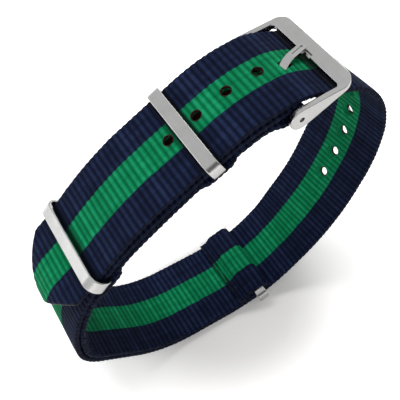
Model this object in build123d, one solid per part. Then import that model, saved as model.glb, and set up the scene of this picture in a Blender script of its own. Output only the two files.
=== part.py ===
from build123d import *
import os
from math import atan2, cos, degrees, radians, sin, sqrt, tan

# A webbing watch strap, buckled into a loop that stands on its lower run.
# Lengths are in millimetres. X runs along the loop towards the buckle's end bar,
# Y across the webbing (the near edge is at -Y) and Z up from the floor.

# Webbing
webbing_width = 20.0
webbing_thickness = 1.3
weld_gap = 0.15  # between layers that are welded together
tail_gap = 0.35  # between the loose tail and the layer under it
tail_bow = 0.55  # how far the tail bows up further, half way between its two keepers
end_gap = 0.3  # between the two cut ends that meet under the keepers

# The loop, as it stands
loop_length = 79.9
loop_height = 72.4  # from the floor to the tail's crest over the spring bar

# Holes of the tail
hole_pitch = 6.85
hole_diameter = 2.1
holes_to_tip = 4  # past the hole that holds the tongue
holes_to_wrist = 8  # on the other side of it, down the right of the loop
tip_length = 11.0
tip_nose_radius = 3.4

# Spring bar
tube_diameter = 1.8
tube_bore = 1.3
tube_end_wall = 0.4
plunger_head_diameter = 1.2
plunger_head_length = 3.4
plunger_tip_diameter = 1.0
plunger_travel = 1.0
plunger_shoulder_gap = 0.05
spring_wire = 0.2
spring_diameter = 1.15
spring_turns = 12
running_gap = 0.05  # radial, where a pin or a tube turns in its hole
fold_gap = 0.05  # radial, between the tube and the webbing folded round it
fold_back_length = 9.0

# Buckle frame, seen from its edge with the spring bar at the origin
frame_side_gap = 0.3
ear_radius = 2.4
leg_thickness = 1.2
bar_reach = 9.2  # from the spring bar's axis to the end bar's inner edge
bar_width = 3.3
bar_thickness = 1.25
bar_corner_radius = 3.0
inner_corner_radius = 1.0
bar_notch_width = 3.0  # in the end bar's inner edge, for the tongue's tip
bar_notch_length = 0.8
bar_notch_depth = 0.4
frame_edge_radius = 0.25
ear_recess = 0.75  # how deep the pin's end sits in the ear's hole
frame_tilt = 16.8

# Buckle tongue: a flat prong that climbs through the tail and lies level over the end bar
tongue_width = 1.7
tongue_thickness = 0.9
tongue_eye_wall = 0.8
tongue_climb = 40.0  # degrees, from the spring bar up to its bend
tongue_bend = 1.1  # half the length of the bend
tongue_skew = 18.0  # degrees by which it points to the far side
tongue_aside = 0.7  # from the tail's middle line to where it comes out, towards the near edge
tongue_lead = 0.9  # from the middle of its hole to where it comes out, along the tail
tongue_overlap = 0.6  # how far its tip lies over the end bar
tongue_rest_gap = 0.05
tongue_groove_width = 0.45
tongue_groove_depth = 0.2
tongue_side_gap = 0.5  # each side, in the slot of the fold
tongue_hole_gap = 0.25  # round the tongue, in the tail's hole
swing_room = 0.6  # by which that hole is stretched, so that the tongue can lift
tongue_tip_radius = 0.6

# Keepers: steel strip bent into rings
keeper_strip = 2.8
keeper_thickness = 0.9
keeper_gap = 0.33  # between a ring and the webbing
keeper_side_room = 0.7  # each side of the webbing
keeper_inner_radius = 0.9
keeper_corner_radius = 2.55
keeper_edge_radius = 0.25
buckle_keeper_lead = 1.2  # along the webbing, past the first place that it touches
tail_keeper_lead = 3.8  # and past the third one
keeper_slide = 0.25  # by which the tail's ring sits to the far side, and the third to the near
pocket_ramp = 3.4  # length over which the lower webbing dips to clear a ring
pocket_floor = 3.6
floor_gap = 0.1  # under the third ring

# The lower webbing's end
lap_ramp = 3.0
lap_length = 1.7
fold_setback = 0.9  # from the bar's middle to the centre of the fold

overrun = 1.0  # by which a cutting tool passes the face that it leaves
least_run = 1e-6  # a shorter run is left out of a route, and so is a smaller turn

# Places that the main webbing's middle line touches on its way round, from the spring bar
# leftwards, down, along the floor and up again: shares of the loop's length and height, and
# the heading in degrees. The headings were read in a loop of one proportion, and lean with it
# in any other. The loose tail leaves the upper places past its last keeper.
read_height_share = 0.9061  # the height of the loop that they were read in, of its length
pin_place_share = 0.1602
upper_touch_shares = ((-0.0430, 0.8925, 209), (-0.1925, 0.7905, 214.5), (-0.3350, 0.6675, 226),
                      (-0.4500, 0.4790, 250))
tail_touch_shares = ((-0.4443, 0.5863, 216), (-0.4919, 0.4560, 270))
lower_touch_shares = ((-0.4730, 0.3180, 270), (-0.3520, 0.1287, 319))
floor_touch_shares = (-0.1150, 0.0000)
wrist_keeper_share = 0.1420
right_touch_shares = ((0.2840, 0.1330, 40), (0.4665, 0.4545, 72), (0.4919, 0.6270, 90),
                      (0.4430, 0.8310, 122), (0.3540, 0.9250, 146), (0.2500, 0.9645, 161))


def along(heading):
    return Vector(cos(radians(heading)), 0, sin(radians(heading)))


def outward(heading):
    """The side away from the wrist, which is on the right of the way round."""
    return along(heading - 90)


def leaned(heading):
    """The heading that a heading as read has in the loop as it stands."""
    return degrees(atan2(sin(radians(heading)) * loop_height,
                         cos(radians(heading)) * loop_length * read_height_share))


def touch(x_share, z_share, heading):
    """The place and heading of one touch."""
    return Vector(x_share * loop_length, 0, z_share * loop_height), leaned(heading)


def eased(first, last):
    """Two touches of nearly parallel runs, with the one half way down the step between them."""
    (place, heading), (far_place, far_heading) = first, last
    chord = far_place - place
    steep = degrees(atan2(chord.Z, chord.X))
    return [first, ((place + far_place) / 2, 2 * steep - (heading + far_heading) / 2), last]


class Route:
    """The middle line of a webbing seen from its edge, led through touches in turn.

    A touch is a place and a heading. Between two touches the line is one arc, as large as
    the nearer touch allows, with a straight run where one is left over.
    """

    def __init__(self, touches):
        self.pieces = []  # each: where it starts, its heading, length and turn
        self.stations = [0]  # how far along the route each touch is
        for (place, heading), (far_place, far_heading) in zip(touches, touches[1:]):
            turn = (far_heading - heading + 180) % 360 - 180
            step = far_place - place
            if abs(turn) < least_run:
                self.add(place, heading, step.length, 0)
            else:
                way, far_way = along(heading), along(far_heading)
                crossing = way.cross(far_way).Y
                before = step.cross(far_way).Y / crossing
                after = way.cross(step).Y / crossing
                reach = min(before, after)
                radius = reach / tan(radians(abs(turn) / 2))
                self.add(place, heading, before - reach, 0)
                self.add(place + way * (before - reach), heading, radius * radians(abs(turn)), turn)
                self.add(far_place - far_way * (after - reach), far_heading, after - reach, 0)
            self.stations.append(sum(piece[2] for piece in self.pieces))

    def add(self, start, heading, length, turn):
        if length > least_run:
            self.pieces.append((start, heading, length, turn))

    def at(self, station):
        """The touch at a distance along the route."""
        for start, heading, length, turn in self.pieces:
            station -= length
            if station < 0:
                break
        station += length
        if turn == 0:
            return start + along(heading) * station, heading
        bend = turn * station / length
        chord = 2 * length / radians(turn) * sin(radians(bend / 2))
        return start + along(heading + bend / 2) * chord, heading + bend

    def beside(self, station, offset, back=False):
        """The touch at a distance along the route, moved outwards; back turns its heading."""
        place, heading = self.at(station)
        return place + outward(heading) * offset, heading - 180 * back

    def edge(self, offset):
        """The route's line moved outwards, as edges and the points where it starts and ends."""
        edges, corners, station = [], [], 0
        for start, heading, length, turn in self.pieces:
            stops = [station + length * share for share in (0, 0.5, 1)]
            points = [self.beside(stop, offset)[0] for stop in stops]
            points[0] = corners[-1] if corners else points[0]
            corners += [points[0], points[2]]
            edges.append(ThreePointArc(*points) if turn else Line(points[0], points[2]))
            station += length
        return edges, corners[0], corners[-1]

    def follow(self, first, last, offset):
        """The touches of a line beside the route, from one station to another."""
        joints = [sum(piece[2] for piece in self.pieces[:count]) for count in range(len(self.pieces))]
        stops = [first] + [joint for joint in joints if first < joint < last] + [last]
        return [self.beside(stop, offset) for stop in stops]

    def band(self, thickness, width):
        """The solid strip of webbing along the route."""
        outer, outer_start, outer_end = self.edge(thickness / 2)
        inner, inner_start, inner_end = self.edge(-thickness / 2)
        caps = [Line(inner_start, outer_start), Line(outer_end, inner_end)]
        return extrude(Face(Wire(outer + inner + caps)), width / 2, both=True)

    def frame(self, station):
        """A plane on the route: local X along it, local Y towards the near edge, Z outwards."""
        place, heading = self.at(station)
        return Plane(place, x_dir=along(heading), z_dir=outward(heading))


# Sizes that follow
pin_heading, crest_heading, wrist_heading = leaned(188), leaned(183), leaned(19)
layer_step = webbing_thickness + weld_gap
tail_step = webbing_thickness + tail_gap
fold_radius = tube_diameter / 2 + fold_gap + webbing_thickness / 2
pin = Vector(pin_place_share * loop_length, 0,
             loop_height - webbing_thickness / 2 - tail_step - fold_radius)
keeper_inner_width = webbing_width + 2 * keeper_side_room
keeper_inner_height = 2 * webbing_thickness + tail_gap + 2 * keeper_gap
pocket_step = (webbing_thickness + keeper_thickness) / 2 + keeper_gap  # ring's bar to lower layer
ear_inner = webbing_width / 2 + frame_side_gap
ear_outer = ear_inner + leg_thickness
tube_length = 2 * (ear_inner - running_gap)


def main_route():
    """From the welded end under the spring bar, round the loop, and back over it to the tip."""
    over_pin = (pin + outward(pin_heading) * fold_radius, pin_heading)
    left = [touch(*shares) for shares in upper_touch_shares + lower_touch_shares]
    floor = [(Vector(x * loop_length, 0, webbing_thickness / 2), 0) for x in floor_touch_shares]
    ring_drop = (keeper_inner_height - layer_step) / 2 + keeper_thickness
    wrist_rise = (ring_drop * cos(radians(wrist_heading))
                  + keeper_strip / 2 * sin(radians(wrist_heading)) + floor_gap)
    wrist = (Vector(wrist_keeper_share * loop_length, 0, wrist_rise), wrist_heading)
    right = [touch(*shares) for shares in right_touch_shares]
    crest = (pin + outward(crest_heading) * (fold_radius + tail_step), crest_heading)
    rises = (tail_step, tail_step + tail_bow, tail_step)
    tail = [(place + outward(heading) * rise, heading) for (place, heading), rise in zip(left, rises)]
    tail += [touch(*shares) for shares in tail_touch_shares]

    upper_run = Route([over_pin, left[0]])
    lap_end = upper_run.beside(fold_back_length, -layer_step, back=True)
    lap_start = upper_run.beside(fold_back_length - lap_length, -layer_step, back=True)
    under_pin = (pin - outward(pin_heading) * fold_radius, pin_heading - 180)
    behind_pin = (pin - along(pin_heading) * fold_radius, pin_heading - 90)
    fold = [lap_end] + eased(lap_start, under_pin) + [behind_pin]

    route = Route(fold + [over_pin] + left + floor + [wrist] + right + [crest] + tail)
    pin_touch = len(fold)
    wrist_touch = pin_touch + 1 + len(left) + len(floor)
    crest_touch = wrist_touch + 1 + len(right)
    return route, pin_touch, wrist_touch, crest_touch


route, pin_touch, wrist_touch, crest_touch = main_route()
pin_station, wrist_station, crest_station, tip_station = (
    route.stations[number] for number in (pin_touch, wrist_touch, crest_touch, -1))
keeper_stations = (route.stations[pin_touch + 1] + buckle_keeper_lead,
                   route.stations[pin_touch + 3] + tail_keeper_lead)

# The tongue lies on the end bar's inner edge
tongue_level = ((bar_reach + tongue_overlap) * sin(radians(frame_tilt))
                + bar_thickness / 2 * cos(radians(frame_tilt))
                + tongue_rest_gap + tongue_thickness / 2)
tongue_reach = ((bar_reach + tongue_overlap) * cos(radians(frame_tilt))
                - bar_thickness / 2 * sin(radians(frame_tilt))) / cos(radians(tongue_skew))
tongue_knee = tongue_level / sin(radians(tongue_climb))
eye_radius = tube_diameter / 2 + running_gap + tongue_eye_wall


def tongue_crossing():
    """The station of the tail where the tongue comes out, and how far the tongue has climbed."""
    steepness = tan(radians(tongue_climb)) / cos(radians(tongue_skew))
    near, far = crest_station - tongue_reach, crest_station
    while far - near > tail_gap / 100:
        middle = (near + far) / 2
        step = route.beside(middle, webbing_thickness / 2)[0] - pin
        if step.Z > step.X * steepness:
            far = middle
        else:
            near = middle
    return near, step.Z / sin(radians(tongue_climb))


crossing_station, tongue_climbed = tongue_crossing()
held_station = crossing_station - tongue_lead
tongue_shift = -tongue_climbed * cos(radians(tongue_climb)) * sin(radians(tongue_skew)) - tongue_aside
tongue_frame = Plane(pin + Vector(0, tongue_shift, 0),
                     x_dir=(cos(radians(tongue_skew)), sin(radians(tongue_skew)), 0), z_dir=(0, 0, 1))


def across(radius, length, place=pin):
    """A round bar that lies across the webbing, centred on a place."""
    return Plane(place, z_dir=(0, 1, 0)) * Cylinder(radius, length)


def main_strap():
    webbing = route.band(webbing_thickness, webbing_width)
    cut_height = webbing_thickness + tail_gap

    # The tip narrows to a rounded nose
    end_run = Route(route.follow(tip_station - tip_length, tip_station, 0))
    half, side = tip_length / 2, webbing_width / 2
    outline = Polygon((-half, -side), (half, 0), (-half, side), align=None)
    outline = fillet(outline.vertices().sort_by(Axis.X)[-1], tip_nose_radius)
    nose = route.frame(tip_station - half) * extrude(outline, webbing_width, both=True)
    webbing -= end_run.band(cut_height, webbing_width + 2 * overrun) - nose

    # Punched holes, all but the one that the tongue has stretched
    for count in range(-holes_to_wrist, holes_to_tip + 1):
        if count:
            punch = Cylinder(hole_diameter / 2, cut_height)
            webbing -= route.frame(held_station + count * hole_pitch) * punch

    length = tongue_knee + tongue_bend - fold_radius - tail_step
    stretched = Box(length, tongue_width + 2 * tongue_hole_gap,
                    tongue_thickness + 2 * tongue_hole_gap + swing_room)
    stretched = fillet(stretched.edges().filter_by(Axis.X), hole_diameter / 4)
    middle = Pos(fold_radius + tail_step + length / 2, 0, swing_room / 2)
    webbing -= tongue_frame * Rot(0, -tongue_climb, 0) * middle * stretched

    # The slot in the fold, which lets the tongue's eye sit on the spring bar
    fold_outside = fold_radius + webbing_thickness / 2
    slot_front = eye_radius + tongue_side_gap
    slot_length = slot_front + fold_outside + overrun
    slot_width = tongue_width + 2 * (tongue_side_gap - tongue_shift)
    slot = Box(slot_length, slot_width, 2 * fold_outside + tail_gap)
    slot_frame = Plane(pin, x_dir=along(pin_heading), z_dir=outward(pin_heading))
    return webbing - slot_frame * Pos(slot_front - slot_length / 2, 0, 0) * slot


def short_strap():
    pocket_offset = -((keeper_inner_height + keeper_thickness - tail_step) / 2 + pocket_step)
    start = pin_station + fold_back_length + end_gap
    touches = []
    for station in keeper_stations:
        stops = (station - pocket_floor / 2 - pocket_ramp, station - pocket_floor / 2,
                 station + pocket_floor / 2, station + pocket_floor / 2 + pocket_ramp)
        touches += route.follow(start, stops[0], -layer_step)[:-1]
        touches += eased(route.beside(stops[0], -layer_step), route.beside(stops[1], pocket_offset))
        touches += eased(route.beside(stops[2], pocket_offset), route.beside(stops[3], -layer_step))
        start = stops[3]
    fold_station = wrist_station + fold_setback
    touches += route.follow(start, fold_station, -layer_step)[1:]

    # Round the third ring's bar, and back on itself
    bar_offset = -(keeper_inner_height + keeper_thickness + layer_step) / 2
    turn_radius = -bar_offset - layer_step
    centre, heading = route.beside(fold_station, bar_offset)
    upper_offset = bar_offset - turn_radius
    lap_start = wrist_station - keeper_strip / 2 - turn_radius / 2
    touches.append((centre + along(heading) * turn_radius, heading + 90))
    touches.append(route.beside(fold_station, upper_offset, back=True))
    touches += eased(route.beside(lap_start, upper_offset, back=True),
                     route.beside(lap_start - lap_ramp, -2 * layer_step, back=True))
    touches.append(route.beside(lap_start - lap_ramp - lap_length, -2 * layer_step, back=True))
    return Route(touches).band(webbing_thickness, webbing_width)


def keeper(station, offset, aside=0.0):
    """A ring round two layers of webbing, centred beside the route."""
    height = keeper_inner_height + 2 * keeper_thickness
    width = keeper_inner_width + 2 * keeper_thickness
    outside = RectangleRounded(width, height, keeper_corner_radius)
    inside = RectangleRounded(keeper_inner_width, keeper_inner_height, keeper_inner_radius)
    ring = extrude(Plane.YZ * (outside - inside), keeper_strip / 2, both=True)
    ring = fillet(ring.edges().filter_by(GeomType.LINE, reverse=True)
                  + ring.edges().filter_by(Axis.Y), keeper_edge_radius)
    return route.frame(station) * Pos(0, -aside, offset) * ring


def buckle_frame():
    plate_length = bar_width + inner_corner_radius
    plate = Pos(bar_reach + bar_width - plate_length / 2, 0) * Rectangle(plate_length, 2 * ear_outer)
    plate = fillet(plate.vertices().group_by(Axis.X)[-1], bar_corner_radius)
    opening = Pos(bar_reach / 2, 0) * Rectangle(bar_reach, 2 * ear_inner)
    plate -= fillet(opening.vertices().group_by(Axis.X)[-1], inner_corner_radius)
    plate = extrude(plate, bar_thickness / 2, both=True)
    plate = fillet(plate.edges().filter_by(Axis.Z, reverse=True), frame_edge_radius)
    leg_end = Pos(bar_reach, 0) * Rectangle(inner_corner_radius, bar_thickness)
    side = Plane.XZ * make_hull((Circle(ear_radius) + leg_end).edges())
    leg = extrude(side, leg_thickness / 2, both=True)
    leg = fillet(leg.edges().filter_by(Axis.Y, reverse=True), frame_edge_radius)
    middle = ear_inner + leg_thickness / 2
    hole = across(plunger_tip_diameter / 2 + running_gap, 2 * ear_outer + 2 * overrun, Vector(0, 0, 0))
    notch = Box(2 * bar_notch_length, bar_notch_width, 2 * bar_notch_depth)
    frame = plate + Pos(0, middle, 0) * leg + Pos(0, -middle, 0) * leg - hole
    frame -= Pos(bar_reach, 0, bar_thickness / 2) * notch
    return Plane(pin, x_dir=along(frame_tilt), z_dir=along(frame_tilt + 90)) * frame


def buckle_tongue():
    start = Vector(0, 0, 0)
    knee = along(tongue_climb) * tongue_knee
    tip = Vector(tongue_reach, 0, tongue_level)
    line = Route([(start, tongue_climb), (knee - along(tongue_climb) * tongue_bend, tongue_climb),
                  (knee + along(0) * tongue_bend, 0), (tip, 0)])
    prong = line.band(tongue_thickness, tongue_width)
    prong = fillet(prong.edges().filter_by(Axis.Z).group_by(Axis.X)[-1], tongue_tip_radius)
    groove_start = knee.X + tongue_bend
    groove_length = tongue_reach - tongue_tip_radius - groove_start
    groove = Box(groove_length, tongue_groove_width, 2 * tongue_groove_depth)
    prong -= Pos(groove_start + groove_length / 2, 0, tongue_level + tongue_thickness / 2) * groove
    place = tongue_frame.origin
    eye = across(eye_radius, tongue_width, place)
    bore = across(tube_diameter / 2 + running_gap, 2 * eye_radius, place)
    return tongue_frame * prong + eye - bore


def spring_bar_tube():
    tip_hole = plunger_tip_diameter / 2 + running_gap
    return (across(tube_diameter / 2, tube_length)
            - across(tube_bore / 2, tube_length - 2 * tube_end_wall)
            - across(tip_hole, tube_length + 2 * overrun))


head_end = tube_length / 2 - tube_end_wall - plunger_shoulder_gap
head_start = head_end - plunger_head_length
spring_length = 2 * (head_start - plunger_shoulder_gap)


def plunger(side):
    """side is -1 at the near end and 1 at the far end."""
    tip_end = ear_outer - ear_recess
    head = across(plunger_head_diameter / 2, plunger_head_length,
                  pin + Vector(0, side * (head_start + head_end) / 2, 0))
    tip = across(plunger_tip_diameter / 2, tip_end - head_start,
                 pin + Vector(0, side * (head_start + tip_end) / 2, 0))
    return head + tip


def spring_bar_spring():
    """An unbroken coil, with its wire inside the stated length."""
    radius = (spring_diameter - spring_wire) / 2
    height = spring_length - spring_wire
    line = Helix(height / spring_turns, height, radius)
    wire = sweep(Plane(line @ 0, z_dir=line % 0) * Circle(spring_wire / 2), line)
    return Plane(pin - Vector(0, height / 2, 0), z_dir=(0, 1, 0)) * wire


parts = {
    "main_strap": main_strap(),
    "short_strap": short_strap(),
    "buckle_keeper": keeper(keeper_stations[0], tail_step / 2),
    "tail_keeper": keeper(keeper_stations[1], tail_step / 2, keeper_slide),
    "wrist_keeper": keeper(wrist_station, -layer_step / 2, -keeper_slide),
    "buckle_frame": buckle_frame(),
    "buckle_tongue": buckle_tongue(),
    "spring_bar_tube": spring_bar_tube(),
    "spring_bar_spring": spring_bar_spring(),
    "plunger_near": plunger(-1),
    "plunger_far": plunger(1),
}

os.makedirs("parts", exist_ok=True)
for name, solid in parts.items():
    export_step(solid, f"parts/{name}.step")

hull = Compound(list(parts.values())).bounding_box()
print("box", hull.min, hull.max)
print("webbing length", round(tip_station, 1), "pin", pin)
print("tongue climbs", tongue_climbed, "shifted", tongue_shift, "level", tongue_level)
for name, station in (("buckle", keeper_stations[0]), ("tail", keeper_stations[1]),
                      ("wrist", wrist_station)):
    print(name, "keeper at", *route.at(station))
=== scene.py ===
from math import atan, atan2, cos, degrees, pi, radians, sin, tan

import bmesh
import bpy
from mathutils import Matrix, Vector


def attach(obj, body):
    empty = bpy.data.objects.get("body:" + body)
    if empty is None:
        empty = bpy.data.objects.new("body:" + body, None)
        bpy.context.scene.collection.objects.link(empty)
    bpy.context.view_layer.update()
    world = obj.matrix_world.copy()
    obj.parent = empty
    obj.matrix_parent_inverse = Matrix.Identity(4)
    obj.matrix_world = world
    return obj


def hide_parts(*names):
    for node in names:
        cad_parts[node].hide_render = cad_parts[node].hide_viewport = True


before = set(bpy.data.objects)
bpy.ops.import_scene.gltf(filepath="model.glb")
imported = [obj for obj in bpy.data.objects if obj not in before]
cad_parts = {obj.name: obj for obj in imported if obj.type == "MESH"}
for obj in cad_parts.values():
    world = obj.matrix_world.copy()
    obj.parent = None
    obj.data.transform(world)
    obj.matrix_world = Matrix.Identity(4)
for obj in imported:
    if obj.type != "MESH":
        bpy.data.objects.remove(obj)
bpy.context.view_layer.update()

# ---- Main webbing
# One length of ribbed nylon webbing. It is folded round the spring bar and welded, goes once
# round the wrist, and comes back over the buckle as the loose tail, which has a heat-cut tip.
# A woven rib is a weft cord that the warp threads cover, so the ribs stand up on both faces.

mm = 0.001
webbing_width = 20 * mm
webbing_thickness = 1.3 * mm
weld_gap = 0.15 * mm
tail_gap = 0.35 * mm
tail_bow = 0.55 * mm  # how far the tail stands off between its two rings
loop_length = 79.9 * mm
loop_height = 72.4 * mm
hole_pitch = 6.85 * mm
hole_radius = 1.1 * mm
hole_flare = 0.6 * mm  # how much further a hole reaches on the wrist's side
hole_throat = 0.2 * mm  # where its flare ends, above the webbing's middle
holes_to_tip = 4
holes_to_wrist = 8
tip_length = 11.0 * mm
tip_nose_radius = 3.4 * mm
tube_radius = 0.9 * mm
running_gap = 0.05 * mm
fold_back_length = 9.0 * mm
lap_length = 1.7 * mm
rib_pitch = 1.34 * mm
rib_depth = 0.19 * mm
rib_rows = 6  # rows of faces along one rib
faces_round = 44  # faces round the webbing's section
edge_roundness = 0.12  # exponent of the section's thickness: 1 would make it an ellipse
face_spread = 0.75  # exponent of the section's width: it sets the faces closer near the edges
edge_share = 0.0001  # sines below it count as the very edge
rib_swell = 0.75  # exponent of a rib's height: below 1 its cord is full and its valley narrow
rib_spread = 0.35  # how much the ribs differ in height, as a share of their depth
slack_depth = 0.16 * mm  # how much a cord's height differs along the rib
slack_size = 3 * mm
sway_reach = 0.22 * mm  # how far a rib strays from a straight line
sway_size = 2.2 * mm
cord_overhang = 0.07 * mm  # how far a cord stands out at the selvedge
sealed_length = 0.45 * mm  # how far a heat-cut edge is melted
cut_thinning = 0.4  # exponent of the thickness towards a heat-cut edge
weld_bar_pitch = 1.5 * mm
weld_bar_share = (0.45, 0.6)  # where the weld's wave turns into a bar
weld_start = (0.55 * mm, 0.65 * mm)  # how far from the cut end the bars begin
weld_stop = (1.25 * mm, 1.35 * mm)  # and end
weld_depth = 0.22 * mm
merge_distance = 0.004 * mm
route_step = 0.1 * mm  # how closely a route is followed
slew = 0.09  # how far the right of the loop leans out of square, per millimetre from its near edge
slew_fade = 12 * mm
least_run = 1e-9

read_height_share = 0.9061  # height over length of the loop that the headings are read from
pin_place_share = 0.1602
upper_touch_shares = ((-0.0430, 0.8925, 209), (-0.1925, 0.7905, 214.5), (-0.3350, 0.6675, 226),
                      (-0.4500, 0.4790, 250))
tail_touch_shares = ((-0.4443, 0.5863, 216), (-0.4919, 0.4560, 270))
lower_touch_shares = ((-0.4730, 0.3180, 270), (-0.3520, 0.1287, 319))
floor_touch_shares = (-0.1150, 0.0)
wrist_keeper_share = 0.1420
right_touch_shares = ((0.2840, 0.1330, 40), (0.4665, 0.4545, 72), (0.4919, 0.6270, 90),
                      (0.4430, 0.8310, 122), (0.3540, 0.9280, 146), (0.2500, 0.9700, 161))
keeper_strip = 2.8 * mm
keeper_thickness = 0.9 * mm
keeper_gap = 0.33 * mm
floor_gap = 0.1 * mm
buckle_keeper_lead = 1.2 * mm
tail_keeper_lead = 3.8 * mm

layer_step = webbing_thickness + weld_gap
tail_step = webbing_thickness + tail_gap
fold_radius = tube_radius + running_gap + webbing_thickness / 2
keeper_inner_height = 2 * webbing_thickness + tail_gap + 2 * keeper_gap
pin = Vector((pin_place_share * loop_length, 0,
              loop_height - webbing_thickness / 2 - tail_step - fold_radius))


def along(heading):
    return Vector((cos(radians(heading)), 0, sin(radians(heading))))


def outward(heading):
    """The side away from the wrist, which is on the right of the way round."""
    return along(heading - 90)


def leaned(heading):
    """The heading that a heading as read has in the loop as it stands."""
    return degrees(atan2(sin(radians(heading)) * loop_height,
                         cos(radians(heading)) * loop_length * read_height_share))


def touch(x_share, z_share, heading):
    return Vector((x_share * loop_length, 0, z_share * loop_height)), leaned(heading)


pin_heading, crest_heading, wrist_heading = leaned(188), leaned(183), leaned(19)


def eased(first, last):
    """Two touches of nearly parallel runs, with the one half way down the step between them."""
    (place, heading), (far_place, far_heading) = first, last
    chord = far_place - place
    steep = degrees(atan2(chord.z, chord.x))
    return [first, ((place + far_place) / 2, 2 * steep - (heading + far_heading) / 2), last]


class Route:
    """The middle line of a webbing, as arcs and straight runs through touches in turn."""

    def __init__(self, touches):
        self.pieces = []
        self.stations = [0]
        for (place, heading), (far_place, far_heading) in zip(touches, touches[1:]):
            turn = (far_heading - heading + 180) % 360 - 180
            step = far_place - place
            if abs(turn) < least_run:
                self.add(place, heading, step.length, 0)
            else:
                way, far_way = along(heading), along(far_heading)
                crossing = way.cross(far_way).y
                before = step.cross(far_way).y / crossing
                after = way.cross(step).y / crossing
                reach = min(before, after)
                radius = reach / tan(radians(abs(turn) / 2))
                self.add(place, heading, before - reach, 0)
                self.add(place + way * (before - reach), heading,
                         radius * radians(abs(turn)), turn)
                self.add(far_place - far_way * (after - reach), far_heading, after - reach, 0)
            self.stations.append(sum(piece[2] for piece in self.pieces))

    def add(self, start, heading, length, turn):
        if length > least_run:
            self.pieces.append((start, heading, length, turn))

    def at(self, station):
        """The touch at a distance along the route."""
        for start, heading, length, turn in self.pieces:
            station -= length
            if station < 0:
                break
        station += length
        if turn == 0:
            return start + along(heading) * station, heading
        bend = turn * station / length
        chord = 2 * length / radians(turn) * sin(radians(bend / 2))
        return start + along(heading + bend / 2) * chord, heading + bend

    def beside(self, station, offset, back=False):
        """The touch at a distance along the route, moved outwards; back turns its heading."""
        place, heading = self.at(station)
        return place + outward(heading) * offset, heading - 180 * back

    def follow(self, first, last, offset):
        """The touches of a line beside the route, from one station to another."""
        joints = [sum(piece[2] for piece in self.pieces[:count])
                  for count in range(len(self.pieces))]
        stops = [first] + [joint for joint in joints if first < joint < last] + [last]
        return [self.beside(stop, offset) for stop in stops]

    def line(self, name, end):
        """A curve object along the route, from its start to a station."""
        spline_data = bpy.data.curves.new(name, "CURVE")
        spline_data.dimensions = "3D"
        spline = spline_data.splines.new("POLY")
        count = int(end / route_step) + 1
        spline.points.add(count - 1)
        for number, point in enumerate(spline.points):
            point.co = (*self.at(end * number / (count - 1))[0], 1)
        made = bpy.data.objects.new(name, spline_data)
        bpy.context.scene.collection.objects.link(made)
        return made


def main_route():
    over_pin = (pin + outward(pin_heading) * fold_radius, pin_heading)
    left = [touch(*shares) for shares in upper_touch_shares + lower_touch_shares]
    floor = [(Vector((x * loop_length, 0, webbing_thickness / 2)), 0) for x in floor_touch_shares]
    ring_drop = (keeper_inner_height - layer_step) / 2 + keeper_thickness
    wrist_rise = (ring_drop * cos(radians(wrist_heading))
                  + keeper_strip / 2 * sin(radians(wrist_heading)) + floor_gap)
    wrist = (Vector((wrist_keeper_share * loop_length, 0, wrist_rise)), wrist_heading)
    right = [touch(*shares) for shares in right_touch_shares]
    crest = (pin + outward(crest_heading) * (fold_radius + tail_step), crest_heading)
    rises = (tail_step, tail_step + tail_bow, tail_step)
    tail = [(place + outward(heading) * rise, heading)
            for (place, heading), rise in zip(left, rises)]
    tail += [touch(*shares) for shares in tail_touch_shares]
    upper_run = Route([over_pin, left[0]])
    lap_end = upper_run.beside(fold_back_length, -layer_step, back=True)
    lap_start = upper_run.beside(fold_back_length - lap_length, -layer_step, back=True)
    under_pin = (pin - outward(pin_heading) * fold_radius, pin_heading - 180)
    behind_pin = (pin - along(pin_heading) * fold_radius, pin_heading - 90)
    fold = [lap_end] + eased(lap_start, under_pin) + [behind_pin]
    route = Route(fold + [over_pin] + left + floor + [wrist] + right + [crest] + tail)
    pin_touch = len(fold)
    wrist_touch = pin_touch + 1 + len(left) + len(floor)
    crest_touch = wrist_touch + 1 + len(right)
    return route, pin_touch, wrist_touch, crest_touch


route, pin_touch, wrist_touch, crest_touch = main_route()
pin_station, wrist_station, crest_station = (
    route.stations[number] for number in (pin_touch, wrist_touch, crest_touch))
keeper_stations = (route.stations[pin_touch + 1] + buckle_keeper_lead,
                   route.stations[pin_touch + 3] + tail_keeper_lead)


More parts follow.
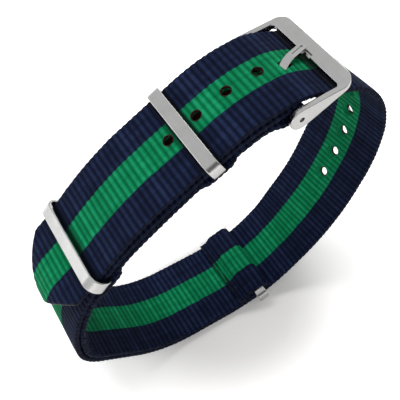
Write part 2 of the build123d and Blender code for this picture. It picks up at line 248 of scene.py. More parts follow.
class Wire:
    """A node's output. Python's operators on it add Math nodes to its tree."""

    def __init__(self, tree, socket=None):
        self.tree = tree
        self.socket = socket

    def node(self, kind, inputs=(), output=0, stops=(), **settings):
        """Adds a node of a kind and gives its output. Settings are set before its inputs."""
        made = self.tree.nodes.new(kind)
        for name, value in settings.items():
            setattr(made, name, value)
        for number, (place, colour) in enumerate(stops):
            elements = made.color_ramp.elements
            element = elements[number] if number < 2 else elements.new(place)
            element.position, element.color = place, colour
        for name, value in dict(inputs).items():
            if isinstance(value, Wire):
                self.tree.links.new(value.socket, made.inputs[name])
            else:
                made.inputs[name].default_value = value
        return Wire(self.tree, made.outputs[output])

    def other(self, output):
        """Another output of the same node."""
        return Wire(self.tree, self.socket.node.outputs[output])

    def math(self, operation, *values):
        """A Math node on this output and the values after it."""
        return self.node("ShaderNodeMath", enumerate((self, *values)), operation=operation)

    def __add__(self, value):
        return self.math("ADD", value)

    def __sub__(self, value):
        return self.math("SUBTRACT", value)

    def __rsub__(self, value):
        return self.node("ShaderNodeMath", {0: value, 1: self}, operation="SUBTRACT")

    def __mul__(self, value):
        return self.math("MULTIPLY", value)

    def __truediv__(self, value):
        return self.math("DIVIDE", value)

    def __rtruediv__(self, value):
        return self.node("ShaderNodeMath", {0: value, 1: self}, operation="DIVIDE")

    def __pow__(self, value):
        return self.math("POWER", value)

    def __neg__(self):
        return 0 - self

    def __abs__(self):
        return self.math("ABSOLUTE")

    __radd__ = __add__
    __rmul__ = __mul__

    def clipped(self, low, high):
        """0 below low, 1 above high, and eased between them."""
        return self.node("ShaderNodeMapRange", {"Value": self, "From Min": low, "From Max": high},
                         interpolation_type="SMOOTHSTEP")

    def parts(self):
        """The three numbers of a vector."""
        split = self.node("ShaderNodeSeparateXYZ", {0: self})
        return split, split.other(1), split.other(2)

    def vector(self, x, y, z):
        return self.node("ShaderNodeCombineXYZ", {0: x, 1: y, 2: z})


def nodes_tree(name, inputs):
    """A geometry tree with named inputs, and those inputs by name."""
    tree = bpy.data.node_groups.new(name, "GeometryNodeTree")
    tree.interface.new_socket("Geometry", in_out="OUTPUT", socket_type="NodeSocketGeometry")
    for label, kind in inputs.items():
        tree.interface.new_socket(label, in_out="INPUT", socket_type="NodeSocket" + kind)
    entry = tree.nodes.new("NodeGroupInput")
    given = {label: Wire(tree, entry.outputs[label]) for label in inputs}
    return tree, given


def close_tree(tree, last):
    tree.links.new(last.socket, tree.nodes.new("NodeGroupOutput").inputs["Geometry"])


def grown(name, tree, start, **values):
    """The plain mesh that a tree makes from an object, as a new object."""
    modifier = start.modifiers.new(name, "NODES")
    modifier.node_group = tree
    identifiers = {item.name: item.identifier for item in tree.interface.items_tree
                   if item.in_out == "INPUT"}
    for label, value in values.items():
        modifier[identifiers[label.replace("_", " ")]] = value
    graph = bpy.context.evaluated_depsgraph_get()
    mesh = bpy.data.meshes.new_from_object(start.evaluated_get(graph), depsgraph=graph)
    start.modifiers.remove(modifier)
    mesh.name = name
    made = bpy.data.objects.new(name, mesh)
    bpy.context.scene.collection.objects.link(made)
    return made


def ribbed_webbing_tree():
    """Ribbed webbing along a curve: a grid rolled into a closed section at every station."""
    tree, given = nodes_tree("ribbed_webbing", {
        "Geometry": "Geometry", "Width": "Float", "Thickness": "Float", "Rib pitch": "Float",
        "Rib depth": "Float", "Rib rows": "Int", "Faces round": "Int", "Taper": "Float",
        "Nose radius": "Float", "Sealed": "Float", "Slew": "Float", "Slew start": "Float",
        "Slew end": "Float", "Welded ends": "Int", "Rib seed": "Float", "Finish": "Material"})
    line = given["Geometry"]
    length = line.node("GeometryNodeCurveLength", {0: line})
    rows = length / given["Rib pitch"] * given["Rib rows"]
    rows = rows.math("ROUND")
    grid = line.node("GeometryNodeMeshGrid", {
        "Size X": 1.0, "Size Y": 1.0, "Vertices X": rows + 1,
        "Vertices Y": given["Faces round"] + 1})
    x, y, _ = line.node("GeometryNodeInputPosition").parts()
    station = (x + 0.5) * length
    angle = (y + 0.5) * (2 * pi)

    # The heat-cut tip: a circle's arc at the nose, then straight slanted cuts
    to_nose = length - station
    half_width = given["Width"] / 2
    slope = given["Taper"]
    slant = slope.math("ARCTANGENT")
    nose_sine = slant.math("SINE")
    setback = given["Nose radius"] * (1 / nose_sine - 1)
    arc_end = given["Nose radius"] * (1 - nose_sine)
    inside = given["Nose radius"] - to_nose.math("MINIMUM", arc_end)
    arc = (given["Nose radius"] ** 2 - inside ** 2).math("MAXIMUM", 0.0).math("SQRT")
    past_arc = to_nose.math("GREATER_THAN", arc_end)
    cut = (to_nose + setback) * slope
    cut = cut.math("MINIMUM", arc + past_arc)
    half = half_width.math("MINIMUM", cut)

    # The section: flat faces with rounded edges
    cosine, sine = angle.math("COSINE"), angle.math("SINE")
    wide = cosine.math("SIGN") * abs(cosine) ** face_spread
    off_edge = (abs(sine) - edge_share).math("MAXIMUM", 0.0)
    high = sine.math("SIGN") * off_edge ** edge_roundness
    from_cut = (cut - half * abs(wide)) * nose_sine
    from_cut = from_cut.math("MINIMUM", station).math("MINIMUM", to_nose)
    sealed = 1 - from_cut.clipped(given["Sealed"] * 0.3, given["Sealed"])

    # The welds: a row of bars pressed into the ribs close to a cut end
    from_weld = station.math("MINIMUM", to_nose + (2 - given["Welded ends"]))
    bars = abs((half * wide / weld_bar_pitch * pi).math("SINE")).clipped(*weld_bar_share)
    weld = bars * from_weld.clipped(*weld_start) * (1 - from_weld.clipped(*weld_stop))
    sealed = sealed.math("MAXIMUM", weld)

    # The ribs: round cords, each a little fuller or slacker, and not quite straight
    rib = station / given["Rib pitch"]
    number = rib.math("FLOOR")
    fullness = rib.node("ShaderNodeTexWhiteNoise", {"W": number + given["Rib seed"]},
                        noise_dimensions="1D")
    ridge = abs((rib * pi).math("SINE")) ** rib_swell
    slack = rib.node("ShaderNodeTexNoise", {
        "Vector": rib.vector(rib * 0.11, half * wide / slack_size, given["Rib seed"]),
        "Scale": 1.0, "Detail": 2.0})
    drop = given["Rib depth"] * (1 - ridge) + given["Rib depth"] * rib_spread * (fullness - 0.5)
    drop = (drop + (slack - 0.5) * slack_depth) * (1 - sealed) + weld * weld_depth
    thin = (from_cut / given["Sealed"]).math("MAXIMUM", 0.0)
    thin = thin.math("MINIMUM", 1.0) ** cut_thinning
    tall = (given["Thickness"] / 2 - drop.math("MAXIMUM", 0.0)) * high * thin
    side = wide * (half + (ridge - 0.5) * cord_overhang * (1 - sealed))
    sway = rib.node("ShaderNodeTexNoise", {
        "Vector": rib.vector(rib * 0.35, side / sway_size, given["Rib seed"]), "Scale": 1.0,
        "Detail": 1.0})
    stride = (sway - 0.5) * sway_reach * (1 - sealed)

    sampled = line.node("GeometryNodeSampleCurve", {"Curves": line, "Length": station},
                        "Position", mode="LENGTH", use_all_curves=True)
    way_x, _, way_z = sampled.other("Tangent").parts()
    slewed = (station.clipped(given["Slew start"], given["Slew start"] + slew_fade)
              - station.clipped(given["Slew end"] - slew_fade, given["Slew end"]))
    off_x = way_z * tall + way_x * stride - slewed * given["Slew"] * (side + half_width)
    off_z = way_z * stride - way_x * tall
    place = line.node("ShaderNodeVectorMath", {0: sampled, 1: line.vector(off_x, side, off_z)},
                      operation="ADD")
    shape = grid
    for label, value in (("station", station), ("sealed", sealed)):
        shape = line.node("GeometryNodeStoreNamedAttribute", {
            "Geometry": shape, "Name": label, "Value": value}, data_type="FLOAT", domain="CORNER")
    shape = line.node("GeometryNodeSetPosition", {"Geometry": shape, "Position": place})
    shape = line.node("GeometryNodeMergeByDistance", {
        "Geometry": shape, "Distance": merge_distance})
    shape = line.node("GeometryNodeSetShadeSmooth", {0: shape})
    shape = line.node("GeometryNodeRealizeInstances", {0: shape})
    close_tree(tree, line.node("GeometryNodeSetMaterial", {
        "Geometry": shape, "Material": given["Finish"]}))
    return tree


ribbed_webbing = ribbed_webbing_tree()

# The hole that holds the tongue is where the tongue climbs out through the tail
bar_reach = 9.2 * mm
bar_thickness = 1.25 * mm
frame_tilt = 16.8
tongue_width = 1.7 * mm
tongue_thickness = 0.9 * mm
tongue_climb = 40.0
tongue_bend = 1.1 * mm
tongue_skew = 18.0
tongue_aside = 0.7 * mm
tongue_lead = 0.9 * mm
tongue_overlap = 0.6 * mm
tongue_rest_gap = 0.05 * mm
tongue_eye_wall = 0.8 * mm
tongue_side_gap = 0.5 * mm
tongue_hole_gap = 0.25 * mm
swing_room = 0.6 * mm
punch_reach = 1.5 * mm
punch_faces = 40
sharp_angle = 60  # edges of a cut that turn further than this stay sharp
slot_overrun = 1 * mm
slew_reach = 80 * mm  # how far before the tongue's hole the leaning run starts
slew_lead = 6 * mm  # and ends

tongue_level = ((bar_reach + tongue_overlap) * sin(radians(frame_tilt))
                + bar_thickness / 2 * cos(radians(frame_tilt))
                + tongue_rest_gap + tongue_thickness / 2)
tongue_reach = ((bar_reach + tongue_overlap) * cos(radians(frame_tilt))
                - bar_thickness / 2 * sin(radians(frame_tilt))) / cos(radians(tongue_skew))
tongue_knee = tongue_level / sin(radians(tongue_climb))


def tongue_crossing():
    """The station of the tail where the tongue comes out, and how far the tongue has climbed."""
    tolerance = tail_gap / 100
    steepness = tan(radians(tongue_climb)) / cos(radians(tongue_skew))
    near, far = crest_station - tongue_reach, crest_station
    while far - near > tolerance:
        middle = (near + far) / 2
        step = route.beside(middle, webbing_thickness / 2)[0] - pin
        if step.z > step.x * steepness:
            far = middle
        else:
            near = middle
    return near, step.z / sin(radians(tongue_climb))


crossing_station, tongue_climbed = tongue_crossing()
held_station = crossing_station - tongue_lead
tongue_shift = (-tongue_climbed * cos(radians(tongue_climb)) * sin(radians(tongue_skew))
                - tongue_aside)


def turned(x_axis, z_axis):
    """The turn that carries X and Z to two directions at right angles."""
    return Matrix((x_axis, z_axis.cross(x_axis), z_axis)).transposed().to_4x4()


def punch_tool(name, holes, boxes):
    """One object with every cutter: a round punch per hole, wider below, and the boxes.

    The flare of a punch has its second material."""
    shape = bmesh.new()
    flared = hole_radius + hole_flare
    profile = ((-punch_reach, flared), (-webbing_thickness / 2, flared),
               (hole_throat, hole_radius), (punch_reach, hole_radius))
    angles = [2 * pi * number / punch_faces for number in range(punch_faces)]
    for place in holes:
        rings = [[shape.verts.new(
            place @ Vector((radius * cos(angle), radius * sin(angle), height)))
            for angle in angles] for height, radius in profile]
        for lower, upper in zip(rings, rings[1:]):
            for number in range(punch_faces):
                after = (number + 1) % punch_faces
                wall = shape.faces.new((lower[number], lower[after], upper[after], upper[number]))
                wall.material_index = int(lower is rings[1])
        shape.faces.new(rings[0][::-1])
        shape.faces.new(rings[-1])
    for (length, width, height), place in boxes:
        bmesh.ops.create_cube(shape, matrix=place @ Matrix.Diagonal((length, width, height, 1)))
    mesh = bpy.data.meshes.new(name)
    shape.to_mesh(mesh)
    shape.free()
    made = bpy.data.objects.new(name, mesh)
    bpy.context.scene.collection.objects.link(made)
    return made


def station_matrix(station):
    """The place and turn of the webbing at a station, with its Z pointing outwards."""
    place, heading = route.at(station)
    share = min((station - slew_start) / slew_fade, (slew_end - station) / slew_fade, 1)
    if share > 0:
        place = place - Vector((slew * webbing_width / 2 * share ** 2 * (3 - 2 * share), 0, 0))
    return Matrix.Translation(place) @ turned(along(heading), outward(heading))


slew_start = held_station - slew_reach
slew_end = held_station - slew_lead
hole_counts = [count for count in range(-holes_to_wrist, holes_to_tip + 1) if count]
hole_places = [station_matrix(held_station + count * hole_pitch) for count in hole_counts]
fold_outside = fold_radius + webbing_thickness / 2
slot_front = tube_radius + running_gap + tongue_eye_wall + tongue_side_gap
slot_length = slot_front + fold_outside + slot_overrun
slot_size = (slot_length, tongue_width + 2 * (tongue_side_gap - tongue_shift),
             2 * fold_outside + tail_gap)
slot_place = (Matrix.Translation(pin) @ turned(along(pin_heading), outward(pin_heading))
              @ Matrix.Translation((slot_front - slot_length / 2, 0, 0)))
skewed = Vector((cos(radians(tongue_skew)), sin(radians(tongue_skew)), 0))
climbing = skewed * cos(radians(tongue_climb)) + Vector((0, 0, sin(radians(tongue_climb))))
over_climb = Vector((0, 0, cos(radians(tongue_climb)))) - skewed * sin(radians(tongue_climb))
torn_length = tongue_knee + tongue_bend - fold_radius - tail_step
torn_size = (torn_length, tongue_width + 2 * tongue_hole_gap,
             tongue_thickness + 2 * tongue_hole_gap + swing_room)
torn_place = (Matrix.Translation(pin + Vector((0, tongue_shift, 0))) @ turned(climbing, over_climb)
              @ Matrix.Translation((fold_radius + tail_step + torn_length / 2, 0, swing_room / 2)))


def linear(red, green, blue):
    """A colour in steps of 0 to 255, as a shader takes it."""
    return tuple(((part / 255 + 0.055) / 1.055) ** 2.4 for part in (red, green, blue)) + (1,)


def finish_material(name):
    """A new material and a wire in its tree that ends in its Principled shader."""
    made = bpy.data.materials.new(name)
    made.use_nodes = True
    shader = made.node_tree.nodes["Principled BSDF"]
    return made, Wire(made.node_tree), shader


def feed(wire, shader, **values):
    for label, value in values.items():
        socket = shader.inputs[label.replace("_", " ")]
        if isinstance(value, Wire):
            wire.tree.links.new(value.socket, socket)
        else:
            socket.default_value = value


def station_beside(place, first, last):
    """The station of the route, between two stations, that is nearest to a place."""
    count = int((last - first) / route_step)
    return min((first + route_step * step for step in range(count)),
               key=lambda station: (route.at(station)[0] - place).length)


# Painted shade on the webbing beside each ring and just inside the bar's edge
bar_search = 20 * mm
bar_shade_lead = 0.3 * mm
bar_shade_reach = 0.5 * mm
shade_fade = (0.3 * mm, 1.2 * mm)
painted_shade_darkness = 0.88
# The selvedges are painted darker, as shade between the layers
selvedge_shade_width = 0.15 * mm
selvedge_shade_darkness = 0.6
stripe_half_width = 3.32 * mm
stripe_blur = 0.12 * mm
stripe_raggedness = 0.35 * mm
stripe_stagger = 0.08 * mm  # how far the stripe's edge steps from rib to rib
ragged_size = 1.5 * mm
thread_pitch = 0.34 * mm
patch_size = 1.1 * mm
fuzz_size = (0.16 * mm, 0.09 * mm, 0.3 * mm)
flank_shade = 0.75
bump_depth = 0.05 * mm
navy_shades = ((0.12, linear(5, 7, 17)), (0.62, linear(15, 22, 44)), (1.0, linear(33, 44, 72)))
green_shades = ((0.12, linear(0, 70, 42)), (0.62, linear(4, 106, 66)),
                (1.0, linear(30, 144, 98)))
# The dark navy of melted ends, and of painted shade
melt_and_shade_navy = linear(6, 8, 14)
# The stations of the tail where shade is painted: beside each ring, and just inside the bar
keeper_places = [route.beside(station, tail_step)[0] for station in keeper_stations]
bar_place = pin + along(frame_tilt) * bar_reach
shaded_stations = [(station_beside(place, crest_station, route.stations[-1]), keeper_strip / 2)
                   for place in keeper_places]
bar_station = station_beside(bar_place, crest_station - bar_search, crest_station)
shaded_stations.append((bar_station - bar_shade_lead, bar_shade_reach))


def striped_webbing_material():
    made, wire, shader = finish_material("striped_webbing")
    x, y, z = wire.node("ShaderNodeTexCoord", output="Object").parts()
    station = wire.node("ShaderNodeAttribute", output="Fac", attribute_name="station")
    sealed = wire.node("ShaderNodeAttribute", output="Fac", attribute_name="sealed")
    rib = station / rib_pitch
    number = rib.math("FLOOR")
    ridge = abs((rib * pi).math("SINE"))
    # The walls that a punch leaves have no station, and take the painted shade of a rib's flank
    ridge = ridge.math("MAXIMUM", flank_shade - station.clipped(0, route_step) * flank_shade)
    tone = wire.node("ShaderNodeTexWhiteNoise", {"W": number}, noise_dimensions="1D")
    ragged = wire.node("ShaderNodeTexNoise", {
        "Vector": wire.vector(rib * 0.9, y / ragged_size, 0.0), "Scale": 1.0, "Detail": 2.0})
    from_middle = (abs(y) + (ragged - 0.5) * stripe_raggedness
                   + (tone - 0.5) * stripe_stagger)
    green = 1 - from_middle.clipped(stripe_half_width - stripe_blur,
                                    stripe_half_width + stripe_blur)

    # Warp threads lie side by side over each weft cord, and change sides from rib to rib
    thread = ((y / thread_pitch + number * 0.5) * (2 * pi)).math("SINE") * 0.5 + 0.5
    fuzz = wire.node("ShaderNodeTexNoise", {
        "Vector": wire.vector(station / fuzz_size[0], y / fuzz_size[1], z / fuzz_size[2]),
        "Scale": 1.0, "Detail": 3.0})
    patch = wire.node("ShaderNodeTexNoise", {
        "Vector": wire.vector(rib * 0.22, y / patch_size, 7.0), "Scale": 1.0, "Detail": 2.0})
    # Lighter on each rib's crown and darker in its valleys, a painted highlight and shade, besides
    # the threads, fuzz, patches and each rib's own tone
    light = ridge * 0.55 + thread * 0.16 + fuzz * 0.3 + (patch - 0.5) * 0.5 + (tone - 0.5) * 0.2
    navy = wire.node("ShaderNodeValToRGB", {"Fac": light}, stops=navy_shades)
    leaf = wire.node("ShaderNodeValToRGB", {"Fac": light}, stops=green_shades)
    colour = wire.node("ShaderNodeMix", {"Factor": green, 6: navy, 7: leaf}, 2, data_type="RGBA")
    # Painted shade: the selvedges, and the webbing beside each ring and the bar, are painted
    # darker, where shade falls between the parts
    painted_shade = abs(y).clipped(webbing_width / 2 - selvedge_shade_width, webbing_width / 2)
    painted_shade = painted_shade * selvedge_shade_darkness
    for place, reach in shaded_stations:
        apart = abs(station - place)
        shaded = 1 - apart.clipped(reach + shade_fade[0], reach + shade_fade[1])
        painted_shade = painted_shade.math("MAXIMUM", shaded * painted_shade_darkness)
    # Heat-sealed ends are melted darker, and the painted shade darkens to the same navy
    melt_and_shade_colour = wire.node("ShaderNodeMix", {
        "Factor": (sealed * 0.75).math("MAXIMUM", painted_shade), 6: colour, 7: melt_and_shade_navy},
        2, data_type="RGBA")
    height = (ridge * 0.3 + thread * 0.5 + fuzz * 0.5) * (1 - sealed * 0.8)
    bump = wire.node("ShaderNodeBump", {"Height": height, "Distance": bump_depth, "Strength": 0.8})
    feed(wire, shader, Base_Color=melt_and_shade_colour, Roughness=0.78 - sealed * 0.35 - thread * 0.08,
         Normal=bump, Specular_IOR_Level=0.05)
    return made


melted_shades = ((0.3, linear(12, 10, 10)), (0.75, linear(58, 34, 30)))
melted_bump = 0.04 * mm


def melted_edge_material():
    made, wire, shader = finish_material("melted_edge")
    spot = wire.node("ShaderNodeTexNoise", {
        "Vector": wire.node("ShaderNodeTexCoord", output="Object"), "Scale": 2600.0,
        "Detail": 3.0})
    colour = wire.node("ShaderNodeValToRGB", {"Fac": spot}, stops=melted_shades)
    bump = wire.node("ShaderNodeBump", {"Height": spot, "Distance": melted_bump})
    feed(wire, shader, Base_Color=colour, Roughness=0.6 + spot * 0.2, Normal=bump,
         Specular_IOR_Level=0.15)
    return made


striped_webbing = striped_webbing_material()
melted_edge = melted_edge_material()


def cut_out(piece, cutter):
    """Cuts one mesh with another, whose materials stay on the walls of the cut."""
    modifier = piece.modifiers.new("cut", "BOOLEAN")
    modifier.operation = "DIFFERENCE"
    modifier.solver = "MANIFOLD"
    modifier.object = cutter
    modifier.material_mode = "TRANSFER"
    graph = bpy.context.evaluated_depsgraph_get()
    mesh = bpy.data.meshes.new_from_object(piece.evaluated_get(graph), depsgraph=graph)
    piece.modifiers.remove(modifier)
    mesh.set_sharp_from_angle(angle=radians(sharp_angle))
    piece.data = mesh
    bpy.data.objects.remove(cutter)


def grown_webbing(name, line, **values):
    """A webbing along a line, with the sizes and the finish that both lengths share."""
    made = grown(name, ribbed_webbing, line, Width=webbing_width, Thickness=webbing_thickness,
                 Rib_pitch=rib_pitch, Rib_depth=rib_depth, Rib_rows=rib_rows,
                 Faces_round=faces_round, Sealed=sealed_length, Finish=striped_webbing, **values)
    bpy.data.objects.remove(line)
    shape = bmesh.new()
    shape.from_mesh(made.data)
    if shape.calc_volume(signed=True) < 0:
        bmesh.ops.reverse_faces(shape, faces=shape.faces)
    shape.to_mesh(made.data)
    shape.free()
    return made


nose_slope = webbing_width / 2 / tip_length
nose_setback = tip_nose_radius * (1 / sin(atan(nose_slope)) - 1)
tail_end = route.stations[-1] - nose_setback
main_webbing = grown_webbing(
    "main_webbing", route.line("main_line", tail_end), Taper=nose_slope,
    Nose_radius=tip_nose_radius, Slew=slew, Slew_start=slew_start, Slew_end=slew_end,
    Welded_ends=1, Rib_seed=1.0)
tools = punch_tool("webbing_tools", hole_places,
                   [(slot_size, slot_place), (torn_size, torn_place)])
tools.data.materials.append(melted_edge)
tools.data.materials.append(striped_webbing)
cut_out(main_webbing, tools)
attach(main_webbing, "strap")
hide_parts("main_strap")

# ---- Short webbing
# The second length, of the same webbing, lies on the wrist's side. Its upper end is welded
# under the buckle, it dips to hold two of the rings, and its other end is folded round the
# third ring's bar and welded back on itself.

pocket_ramp = 3.4 * mm
pocket_floor = 3.6 * mm
lap_ramp = 3.0 * mm
fold_setback = 0.9 * mm
end_lap = 0.4 * mm  # how far its upper end is pressed onto the end of the main webbing
square_taper = 1000.0
square_nose = 0.001 * mm
pocket_step = (webbing_thickness + keeper_thickness) / 2 + keeper_gap


def short_route():
    pocket_offset = -((keeper_inner_height + keeper_thickness - tail_step) / 2 + pocket_step)
    start = pin_station + fold_back_length - end_lap
    touches = []
    for station in keeper_stations:
        stops = (station - pocket_floor / 2 - pocket_ramp, station - pocket_floor / 2,
                 station + pocket_floor / 2, station + pocket_floor / 2 + pocket_ramp)
        touches += route.follow(start, stops[0], -layer_step)[:-1]
        touches += eased(route.beside(stops[0], -layer_step),
                         route.beside(stops[1], pocket_offset))
        touches += eased(route.beside(stops[2], pocket_offset),
                         route.beside(stops[3], -layer_step))
        start = stops[3]
    fold_station = wrist_station + fold_setback
    touches += route.follow(start, fold_station, -layer_step)[1:]
    bar_offset = -(keeper_inner_height + keeper_thickness + layer_step) / 2
    turn_radius = -bar_offset - layer_step
    centre, heading = route.beside(fold_station, bar_offset)
    upper_offset = bar_offset - turn_radius
    lap_start = wrist_station - keeper_strip / 2 - turn_radius / 2
    touches.append((centre + along(heading) * turn_radius, heading + 90))
    touches.append(route.beside(fold_station, upper_offset, back=True))
    touches += eased(route.beside(lap_start, upper_offset, back=True),
                     route.beside(lap_start - lap_ramp, -2 * layer_step, back=True))
    touches.append(route.beside(lap_start - lap_ramp - lap_length, -2 * layer_step, back=True))
    return Route(touches)


inner_route = short_route()
short_webbing = grown_webbing(
    "short_webbing", inner_route.line("short_line", inner_route.stations[-1]),
    Taper=square_taper, Nose_radius=square_nose, Slew=0.0, Slew_start=0.0, Slew_end=1.0,
    Welded_ends=2, Rib_seed=50.0)
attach(short_webbing, "strap")
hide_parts("short_strap")

# ---- Loose fibres
# Nylon filaments that have worked out of the selvedges and the cut ends, bent every way. The
# layer on the wrist's side has the most. Each stays fast in its own webbing.

fibre_radius = 0.024 * mm
fringe_width = 0.25 * mm
sealed_favour = 20 * mm  # more than any half width, so that all of a cut end has fibres
filament_shades = ((0.35, linear(14, 18, 32)), (0.7, linear(52, 62, 92)))


def loose_fibres_tree():
    tree, given = nodes_tree("loose_fibres", {
        "Geometry": "Geometry", "Density": "Float", "Length": "Float", "Radius": "Float",
        "From middle": "Float", "Fibre seed": "Int", "Finish": "Material"})
    webbing = given["Geometry"]
    _, y, _ = webbing.node("GeometryNodeInputPosition").parts()
    sealed = webbing.node("GeometryNodeInputNamedAttribute", {"Name": "sealed"}, data_type="FLOAT")
    at_edge = (abs(y) + sealed * sealed_favour).math("GREATER_THAN", given["From middle"])
    points = webbing.node("GeometryNodeDistributePointsOnFaces", {
        "Mesh": webbing, "Selection": at_edge, "Density": given["Density"],
        "Seed": given["Fibre seed"]})
    length = given["Length"]
    strand = webbing.node("GeometryNodeCurveQuadraticBezier", {
        "Resolution": 4, "Start": webbing.vector(0.0, 0.0, length * -0.1),
        "Middle": webbing.vector(length * 0.1, 0.0, length * 0.6),
        "End": webbing.vector(length * 0.75, length * 0.2, length * 0.7)})
    round_section = webbing.node("GeometryNodeCurvePrimitiveCircle", {
        "Resolution": 3, "Radius": given["Radius"]})
    strand = webbing.node("GeometryNodeCurveToMesh", {
        "Curve": strand, "Profile Curve": round_section, "Fill Caps": True})
    lean = webbing.node("FunctionNodeRandomValue", {
        0: (-1.1, -1.1, -3.2), 1: (1.1, 1.1, 3.2), "Seed": given["Fibre seed"]},
        data_type="FLOAT_VECTOR")
    spread = webbing.node("FunctionNodeRandomValue", {
        0: (0.3, 0.3, 0.3), 1: (1.0, 1.0, 1.0), "Seed": given["Fibre seed"]},
        data_type="FLOAT_VECTOR")
    turn = webbing.node("FunctionNodeRotateRotation", {
        "Rotation": points.other("Rotation"), "Rotate By": lean}, rotation_space="LOCAL")
    shape = webbing.node("GeometryNodeInstanceOnPoints", {
        "Points": points, "Instance": strand, "Rotation": turn, "Scale": spread})
    shape = webbing.node("GeometryNodeRealizeInstances", {0: shape})
    close_tree(tree, webbing.node("GeometryNodeSetMaterial", {
        "Geometry": shape, "Material": given["Finish"]}))
    return tree


def nylon_filament_material():
    made, wire, shader = finish_material("nylon_filament")
    spot = wire.node("ShaderNodeTexNoise", {
        "Vector": wire.node("ShaderNodeTexCoord", output="Object"), "Scale": 700.0})
    colour = wire.node("ShaderNodeValToRGB", {"Fac": spot}, stops=filament_shades)
    feed(wire, shader, Base_Color=colour, Roughness=0.5 + spot * 0.1)
    return made


loose_fibres = loose_fibres_tree()
nylon_filament = nylon_filament_material()
for name, webbing, per_square_metre, length, seed in (
        ("main_fibres", main_webbing, 0.4e6, 0.8 * mm, 3),
        ("short_fibres", short_webbing, 3.0e6, 1.3 * mm, 8)):
    fibres = grown(name, loose_fibres, webbing, Density=per_square_metre, Length=length,
                   Radius=fibre_radius, From_middle=webbing_width / 2 - fringe_width,
                   Fibre_seed=seed, Finish=nylon_filament)
    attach(fibres, "strap")

# ---- Hole rims
# Every punched hole has two melted rims, where the hot punch pushed the nylon out: one on
# the outer face and one in the hole's throat, above its flare.

rim_radius = 0.11 * mm
rim_unevenness = 0.1 * mm
rim_sink = 0.06 * mm
mark_half = 0.1 * mm  # half the side of the square that marks a rim's place


def melted_rims_tree():
    tree, given = nodes_tree("melted_rims", {
        "Geometry": "Geometry", "Hole radius": "Float", "Rim radius": "Float",
        "Unevenness": "Float", "Finish": "Material"})
    marks = given["Geometry"]
    points = marks.node("GeometryNodeStoreNamedAttribute", {
        "Geometry": marks, "Name": "facing", "Value": marks.node("GeometryNodeInputNormal")},
        data_type="FLOAT_VECTOR", domain="FACE")
    points = marks.node("GeometryNodeMeshToPoints", {"Mesh": points}, mode="FACES")
    facing = marks.node("GeometryNodeInputNamedAttribute", {"Name": "facing"},
                        data_type="FLOAT_VECTOR")
    turn = marks.node("FunctionNodeAlignRotationToVector", {"Vector": facing}, axis="Z")
    ring = marks.node("GeometryNodeCurvePrimitiveCircle", {
        "Resolution": 28, "Radius": given["Hole radius"]})
    section = marks.node("GeometryNodeCurvePrimitiveCircle", {
        "Resolution": 7, "Radius": given["Rim radius"]})
    ring = marks.node("GeometryNodeCurveToMesh", {"Curve": ring, "Profile Curve": section})
    shape = marks.node("GeometryNodeInstanceOnPoints", {
        "Points": points, "Instance": ring, "Rotation": turn})
    shape = marks.node("GeometryNodeRealizeInstances", {0: shape})
    place = marks.node("GeometryNodeInputPosition")
    ruffle = marks.node("ShaderNodeTexNoise", {"Vector": place, "Scale": 1600.0, "Detail": 1.0},
                        "Color")
    push = marks.node("ShaderNodeVectorMath", {0: ruffle, 1: (0.5, 0.5, 0.5)},
                      operation="SUBTRACT")
    push = marks.node("ShaderNodeVectorMath", {0: push, "Scale": given["Unevenness"]},
                      operation="SCALE")
    shape = marks.node("GeometryNodeSetPosition", {"Geometry": shape, "Offset": push})
    shape = marks.node("GeometryNodeSetShadeSmooth", {0: shape})
    close_tree(tree, marks.node("GeometryNodeSetMaterial", {
        "Geometry": shape, "Material": given["Finish"]}))
    return tree


marks_shape = bmesh.new()
for place in hole_places:
    for side, lift in ((-1, hole_throat), (1, webbing_thickness / 2 - rim_sink)):
        corners = [Vector((x * mark_half, x * y * side * mark_half, lift))
                   for x, y in ((-1, 1), (1, -1), (1, 1), (-1, -1))]
        marks_shape.faces.new([marks_shape.verts.new(place @ corner) for corner in corners])
marks_mesh = bpy.data.meshes.new("hole_marks")
marks_shape.to_mesh(marks_mesh)
marks_shape.free()
hole_marks = bpy.data.objects.new("hole_marks", marks_mesh)
bpy.context.scene.collection.objects.link(hole_marks)
hole_rims = grown("hole_rims", melted_rims_tree(), hole_marks, Hole_radius=hole_radius,
                  Rim_radius=rim_radius, Unevenness=rim_unevenness, Finish=melted_edge)
bpy.data.objects.remove(hole_marks)
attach(hole_rims, "strap")

# ---- Steel
# The buckle frame, its tongue and the three rings are bent and ground from stainless steel.
# The frame and the rings are brushed to a satin grain and the tongue is smoother. The spring
# bar's tube, spring and plungers are plain drawn steel.

grain_width = 0.12 * mm
grain_length = 4 * mm
grain_depth = 0.002 * mm
dull_steel = linear(155, 155, 155)
bright_steel = linear(184, 184, 183)
spring_bar_steel = linear(200, 201, 204)


def ground_steel_material(name, roughness):
    made, wire, shader = finish_material(name)
    place = wire.node("ShaderNodeTexCoord", output="Object")
    x, y, z = place.parts()
    streaks = wire.node("ShaderNodeTexNoise", {
        "Vector": wire.vector(x / grain_width, y / grain_length, z / grain_width),
        "Scale": 1.0, "Detail": 2.0})
    clouds = wire.node("ShaderNodeTexNoise", {"Vector": place, "Scale": 300.0, "Detail": 2.0})
    colour = wire.node("ShaderNodeMix", {
        "Factor": streaks * 0.4 + clouds * 0.6, 6: dull_steel, 7: bright_steel},
        2, data_type="RGBA")
    bump = wire.node("ShaderNodeBump", {"Height": streaks, "Distance": grain_depth,
                                        "Strength": 0.4})
    feed(wire, shader, Base_Color=colour, Metallic=1.0, Normal=bump,
         Roughness=roughness + (streaks - 0.5) * 0.06 + (clouds - 0.5) * 0.1)
    return made


def drawn_steel_material():
    made, wire, shader = finish_material("drawn_steel")
    place = wire.node("ShaderNodeTexCoord", output="Object")
    marks = wire.node("ShaderNodeTexNoise", {"Vector": place, "Scale": 3000.0, "Detail": 2.0})
    feed(wire, shader, Base_Color=spring_bar_steel, Metallic=1.0,
         Roughness=0.1 + marks * 0.08)
    return made


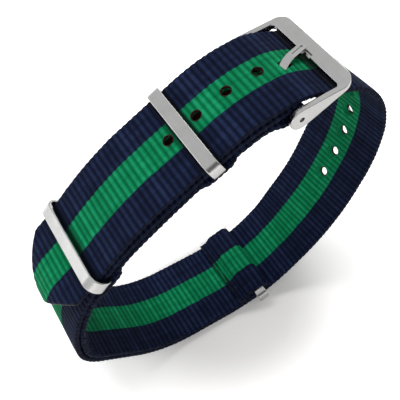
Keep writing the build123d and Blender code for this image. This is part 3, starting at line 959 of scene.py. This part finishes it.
satin_steel = ground_steel_material("satin_steel", 0.22)
polished_steel = ground_steel_material("polished_steel", 0.13)
drawn_steel = drawn_steel_material()
steel_of = {
    "buckle_frame": satin_steel, "buckle_tongue": polished_steel, "buckle_keeper": satin_steel,
    "tail_keeper": satin_steel, "wrist_keeper": satin_steel, "spring_bar_tube": drawn_steel,
    "spring_bar_spring": drawn_steel, "plunger_near": drawn_steel, "plunger_far": drawn_steel}
for node, steel in steel_of.items():
    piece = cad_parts[node]
    piece.data.materials.clear()
    piece.data.materials.append(steel)

# ---- Floor, light and camera
# A plain white floor that brightens to a white backdrop away from the strap, soft light from
# above, and the camera where the photograph was taken from.

floor_half = 3.0
near_glow, near_glow_strength = (14 * mm, 34 * mm), 0.4
far_glow, far_glow_strength = (80 * mm, 300 * mm), 0.5
shadow_middle = (4 * mm, -6 * mm, 0)
room_light = 0.42
room_darkening = 0.8

floor_mesh = bpy.data.meshes.new("floor")
floor_mesh.from_pydata([(x * floor_half, y * floor_half, 0)
                        for x, y in ((-1, -1), (1, -1), (1, 1), (-1, 1))], [], [(0, 1, 2, 3)])
floor = bpy.data.objects.new("floor", floor_mesh)
bpy.context.scene.collection.objects.link(floor)
floor_white, wire, shader = finish_material("floor_white")


def seen_rays(wire):
    """1 for rays to the camera, off metal or through glass, and 1 for those off metal alone."""
    path = wire.node("ShaderNodeLightPath", output="Is Camera Ray")
    seen = path.math("MAXIMUM", path.other("Is Glossy Ray"))
    return seen.math("MAXIMUM", path.other("Is Transmission Ray")), path.other("Is Glossy Ray")


seen, _ = seen_rays(wire)
floor_place = wire.node("ShaderNodeTexCoord", output="Object")
apart = floor_place.node("ShaderNodeVectorMath", {0: floor_place, 1: shadow_middle},
                         "Value", operation="DISTANCE")
# The glow is painted light, seen by the camera and in reflections: it fades the outer part of the
# strap's shadow to white, and the far floor into a white backdrop
glow = seen * (apart.clipped(*near_glow) * near_glow_strength
               + apart.clipped(*far_glow) * far_glow_strength)
feed(wire, shader, Base_Color=(0.955, 0.94, 0.93, 1), Roughness=0.9, Specular_IOR_Level=0.0,
     Emission_Color=glow.vector(glow, glow, glow), Emission_Strength=1.0)
floor_mesh.materials.append(floor_white)

world = bpy.data.worlds.new("studio")
bpy.context.scene.world = world
world.use_nodes = True
air = Wire(world.node_tree)
backdrop = world.node_tree.nodes["Background"]
seen, reflected = seen_rays(air)
strength = seen * (1 - room_light) + room_light
# Steel that faces the near side reflects a darker part of the room
_, way_y, way_z = air.node("ShaderNodeTexCoord", output="Generated").parts()
dark_room = ((-way_y).clipped(0.54, 0.62)
             * way_z.clipped(0.02, 0.08) * (1 - way_z.clipped(0.50, 0.58)))
strength = strength * (1 - dark_room * reflected * room_darkening)
world.node_tree.links.new(strength.socket, backdrop.inputs["Strength"])
backdrop.inputs["Color"].default_value = (1, 1, 1, 1)


def lamp(name, place, target, size, power):
    data = bpy.data.lights.new(name, "AREA")
    data.shape, data.size, data.energy = "DISK", size, power
    made = bpy.data.objects.new(name, data)
    made.location = place
    made.rotation_mode = "QUATERNION"
    made.rotation_quaternion = (Vector(target) - Vector(place)).to_track_quat("-Z", "Y")
    bpy.context.scene.collection.objects.link(made)
    return made


key = lamp("key", (-0.12, 0.22, 0.8), (0, 0, 0.03), 0.5, 4.9)
fill = lamp("fill", (-0.30, -0.50, 0.45), (0, 0, 0.03), 0.3, 1.5)
key.visible_glossy = fill.visible_glossy = False
# The strips light nothing, and only show as highlights on the steel
for name, place, power in (("left_strip", (-0.78, 0.45, 0.24), 0.55),
                           ("right_strip", (0.71, 0.51, 0.47), 1.2)):
    strip = lamp(name, place, (0, 0, 0.05), 0.4, power)
    strip.visible_diffuse = False

aim = Vector((-1.65 * mm, 0, 41.4 * mm))
camera_data = bpy.data.cameras.new("camera")
camera_data.lens, camera_data.sensor_width = 55.36, 36.0
camera_data.clip_start = 0.01
camera = bpy.data.objects.new("camera", camera_data)
camera.location = (-43.02 * mm, -68.07 * mm, 148.26 * mm)
camera.rotation_mode = "QUATERNION"
camera.rotation_quaternion = (aim - camera.location).to_track_quat("-Z", "Y")
bpy.context.scene.collection.objects.link(camera)
bpy.context.scene.camera = camera
bpy.context.scene.view_settings.view_transform = "Standard"
